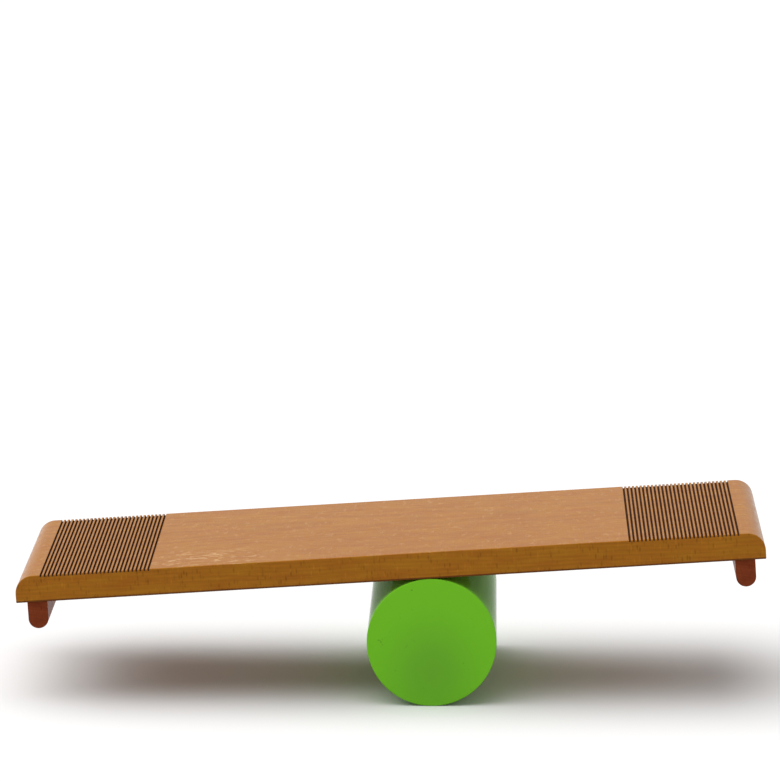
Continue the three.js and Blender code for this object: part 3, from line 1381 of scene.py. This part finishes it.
@dataclass
class Roller:
    """The loose roller: an extruded tube closed by two moulded caps.

    Its own axes have the origin in the middle of the roller and Z along its axis.

    Attributes:
        length: length of the whole roller.
        tube_wall: wall of the tube.
        tube_ease: easing of the tube's edges.
        ease_segments: steps in that easing.
        cap_gap: gap between a cap and the tube, all round.
        flange: thickness of a cap's flange, which covers the tube's end.
        rim_radius: rounding of a cap's outer edge.
        rim_segments: steps in that rounding.
        face_wall: wall of a cap's face.
        spigot_length: how far a cap's spigot reaches into the tube.
        spigot_wall: wall of the spigot.
        spigot_lead: chamfer that leads the spigot into the tube.
        boss_diameter: diameter of the boss in the middle of a cap.
        rib_count: ribs between the boss and the spigot.
        rib_thickness: thickness of a rib.
        rib_setback: how far the ribs and the boss end short of the spigot.
        inner_ease: easing of a cap's inner edges.
        inner_segments: steps in that easing.
        sides: steps round the roller.
    """

    length: float = 280 * MM
    tube_wall: float = 5 * MM
    tube_ease: float = 0.5 * MM
    ease_segments: int = 3
    cap_gap: float = 0.3 * MM
    flange: float = 4 * MM
    rim_radius: float = 1 * MM
    rim_segments: int = 5
    face_wall: float = 3.5 * MM
    spigot_length: float = 20 * MM
    spigot_wall: float = 3 * MM
    spigot_lead: float = 1.5 * MM
    boss_diameter: float = 14 * MM
    rib_count: int = 6
    rib_thickness: float = 2.5 * MM
    rib_setback: float = 3 * MM
    inner_ease: float = 0.5 * MM
    inner_segments: int = 2
    sides: int = 192

    def centre(self) -> Vector:
        """The middle of the roller's axis, which is where the deck's hinge lies."""
        return Vector(frame_entry(frame["joints"], "deck_rock")["pos_m"])

    def radius(self) -> float:
        """The roller's radius: its axis stands that high above the floor."""
        return self.centre().z

    def placement(self, end: RollerEnd) -> Placement:
        """Where the roller's own axes lie, with Z towards one of its ends."""
        return Placement(self.centre(), Euler((-end.value * math.pi / 2, 0, 0)))

    def face_back(self) -> float:
        """The height of the inner side of a cap's face, on the roller's own axes."""
        return self.length / 2 - self.face_wall

    def spigot_end(self) -> float:
        """The height at which a cap's spigot ends inside the tube."""
        return self.length / 2 - self.flange - self.spigot_length

    def rib_end(self) -> float:
        """The height at which a cap's ribs and boss end."""
        return self.spigot_end() + self.rib_setback

    def spigot_radius(self) -> float:
        """The outer radius of a cap's spigot, which clears the tube."""
        return self.radius() - self.tube_wall - self.cap_gap

    def tube(self) -> BMesh:
        """Shape the tube between the caps' flanges.

        Returns:
            The tube.
        """
        outer = self.radius()
        bore = outer - self.tube_wall
        reach = self.length / 2 - self.flange - self.cap_gap
        tube = lathe([(bore, -reach), (outer, -reach), (outer, reach), (bore, reach)], self.sides)
        round_edges(tube, self.tube_ease, self.ease_segments, is_sharp)
        return tube

    def cap_shell(self) -> BMesh:
        """Shape a cap's face, flange, spigot and boss.

        Returns:
            The cap without its ribs.
        """
        outer = self.radius()
        face = self.length / 2
        flange_back = face - self.flange
        face_back = self.face_back()
        spigot_end = self.spigot_end()
        spigot_outer = self.spigot_radius()
        spigot_inner = spigot_outer - self.spigot_wall
        boss = self.boss_diameter / 2
        rib_end = self.rib_end()
        shell = lathe(
            [
                (0, rib_end),
                (boss, rib_end),
                (boss, face_back),
                (spigot_inner, face_back),
                (spigot_inner, spigot_end),
                (spigot_outer - self.spigot_lead, spigot_end),
                (spigot_outer, spigot_end + self.spigot_lead),
                (spigot_outer, flange_back),
                (outer, flange_back),
                (outer, face),
                (0, face),
            ],
            self.sides,
        )
        rim = outer - self.inner_ease
        front = flange_back + WELD_DISTANCE
        round_edges(
            shell,
            self.rim_radius,
            self.rim_segments,
            lambda edge: is_sharp(edge)
            and all(v.co.z > front and v.co.xy.length > rim for v in edge.verts),
        )
        round_edges(
            shell,
            self.inner_ease,
            self.inner_segments,
            lambda edge: is_sharp(edge) and edge.verts[0].co.z < face_back,
        )
        return shell

    def cap(self, name: str, plastic: Material) -> Object:
        """Make a whole cap on the roller's axes.

        Its ribs start halfway out in the boss and end halfway through the spigot and the face.

        Args:
            name: the cap's name.
            plastic: its material.

        Returns:
            The cap.
        """
        shell = solid_object(name, self.cap_shell(), [plastic])
        start = self.boss_diameter / 4
        reach = self.spigot_radius() - self.spigot_wall / 2 - start
        depth = self.face_back() - self.rib_end() + self.face_wall / 2
        for index in range(self.rib_count):
            middle = (start + reach / 2, 0, self.rib_end() + depth / 2)
            rib = block((reach, self.rib_thickness, depth), middle)
            turn = Matrix.Rotation(index * FULL_TURN / self.rib_count, 3, "Z")
            bmesh.ops.rotate(rib, matrix=turn, verts=rib.verts[:])
            combine(shell, solid_object("rib", rib, [plastic]), Cut.JOIN)
        return shell

    def build(self) -> list[Object]:
        """Make the tube and both caps.

        Returns:
            The finished pieces.
        """
        extruded = TUBE_PVC.build(self.centre())
        moulded = CAP_PVC.build(self.centre())
        tube = solid_object("roller_tube_round", self.tube(), [extruded])
        along = self.placement(RollerEnd.FAR).matrix()
        made = [finish_piece(tube, along, "roller", "green_plastic", "roller_tube")]
        for end in RollerEnd:
            side = end.name.lower()
            cap = self.cap(f"{side}_cap_ribbed", moulded)
            place = self.placement(end).matrix()
            made.append(finish_piece(cap, place, "roller", "green_plastic", f"{side}_end_cap"))
        return made


@dataclass
class Studio:
    """A white floor under soft light, and the camera.

    Attributes:
        camera_place: the camera's place.
        camera_yaw: its turn to the right, from looking along Y.
        camera_pitch: its turn upwards.
        lens: its focal length, in millimetres of the sensor.
        sensor: the sensor's width, in millimetres.
        floor_size: the floor's side.
        floor_colour: the floor's colour where it throws light back.
        floor_seen: the floor's colour where it is seen.
        sky: strength of the light from all round.
        lamp_strength: strength of the lamp, where pi shows a surface that faces it as it is.
        lamp_angle: how wide the lamp looks from the floor, which is how soft its shadows are.
        lamp_turn: the lamp's turn from straight above, in which it leans to the left.
    """

    camera_place: Triple = (103.5 * MM, -5299.1 * MM, 1234.8 * MM)
    camera_yaw: float = math.radians(-1.151)
    camera_pitch: float = math.radians(-10.044)
    lens: float = 244.09
    sensor: float = 36
    floor_size: float = 60
    floor_colour: str = "#c6c6c6"
    floor_seen: str = "#e8e8e8"
    sky: float = 0.55
    lamp_strength: float = 0.85 * math.pi
    lamp_angle: float = math.radians(80)
    lamp_turn: Triple = (0, math.radians(-22), 0)

    def camera(self) -> None:
        """Set the scene's camera where the photograph was taken from."""
        data = bpy.data.cameras.new("camera")
        data.lens = self.lens
        data.sensor_width = self.sensor
        data.sensor_fit = "HORIZONTAL"
        made = bpy.data.objects.new("camera", data)
        made.location = self.camera_place
        made.rotation_euler = (math.pi / 2 + self.camera_pitch, 0, -self.camera_yaw)
        bpy.context.scene.collection.objects.link(made)
        bpy.context.scene.camera = made

    def seen_directly(self, tree: NodeTree) -> NodeSocket:
        """Tell the rays that see the backdrop, straight or in a reflection, from the light's own.

        Args:
            tree: the node tree of the backdrop's material or of the world.

        Returns:
            1 for the rays that see it, and 0 for the others.
        """
        seen = add_node(tree, "ShaderNodeLightPath", {}, "Is Camera Ray")
        rays = seen.node.outputs
        for kind in ("Is Glossy Ray", "Is Transmission Ray"):
            seen = calculate(tree, "MAXIMUM", seen, rays[kind])
        return seen

    def world(self) -> None:
        """Make the world white where it is seen, and an even soft light elsewhere."""
        world = bpy.data.worlds.new("studio")
        world.use_nodes = True
        tree = world.node_tree
        strength = map_range(tree, self.seen_directly(tree), (0, 1), (self.sky, 1))
        background = tree.nodes["Background"]
        background.inputs["Color"].default_value = (1, 1, 1, 1)
        tree.links.new(strength, background.inputs["Strength"])
        bpy.context.scene.world = world

    def floor(self) -> None:
        """Lay a wide plain floor, whiter where it is seen than where it throws light back."""
        material, tree, surface = new_material("white_floor")
        tone = add_node(tree, "ShaderNodeValToRGB", {"Fac": self.seen_directly(tree)})
        tone.node.color_ramp.elements[0].color = linear_colour(self.floor_colour)
        tone.node.color_ramp.elements[1].color = linear_colour(self.floor_seen)
        tree.links.new(tone, surface.inputs["Base Color"])
        surface.inputs["Roughness"].default_value = 1
        surface.inputs["Specular IOR Level"].default_value = 0
        shape = bmesh.new()
        bmesh.ops.create_grid(shape, x_segments=1, y_segments=1, size=self.floor_size / 2)
        made = solid_object("floor", shape, [material])

    def lamp(self) -> None:
        """Hang a wide soft lamp above and a little to the left, even over the whole floor."""
        data = bpy.data.lights.new("lamp", "SUN")
        data.energy = self.lamp_strength
        data.angle = self.lamp_angle
        made = bpy.data.objects.new("lamp", data)
        made.rotation_euler = self.lamp_turn
        bpy.context.scene.collection.objects.link(made)

    def build(self) -> None:
        """Set the camera, the floor and the light."""
        self.camera()
        self.world()
        self.floor()
        self.lamp()
        bpy.context.scene.view_settings.view_transform = "Standard"


def main() -> None:
    """Build the studio and the rola bola."""
    logging.basicConfig(level=logging.INFO, format="%(name)s: %(message)s")
    Studio().build()
    deck = Deck()
    cleats = [StopCleat(deck, end, CleatScrew()) for end in DeckEnd]
    pieces = [deck.build([hole for cleat in cleats for hole in cleat.deck_holes()])]
    for cleat in cleats:
        pieces += cleat.build()
    pieces += Roller().build()
    LOG.info("%d pieces", len(pieces))


if __name__ == "__main__":
    main()
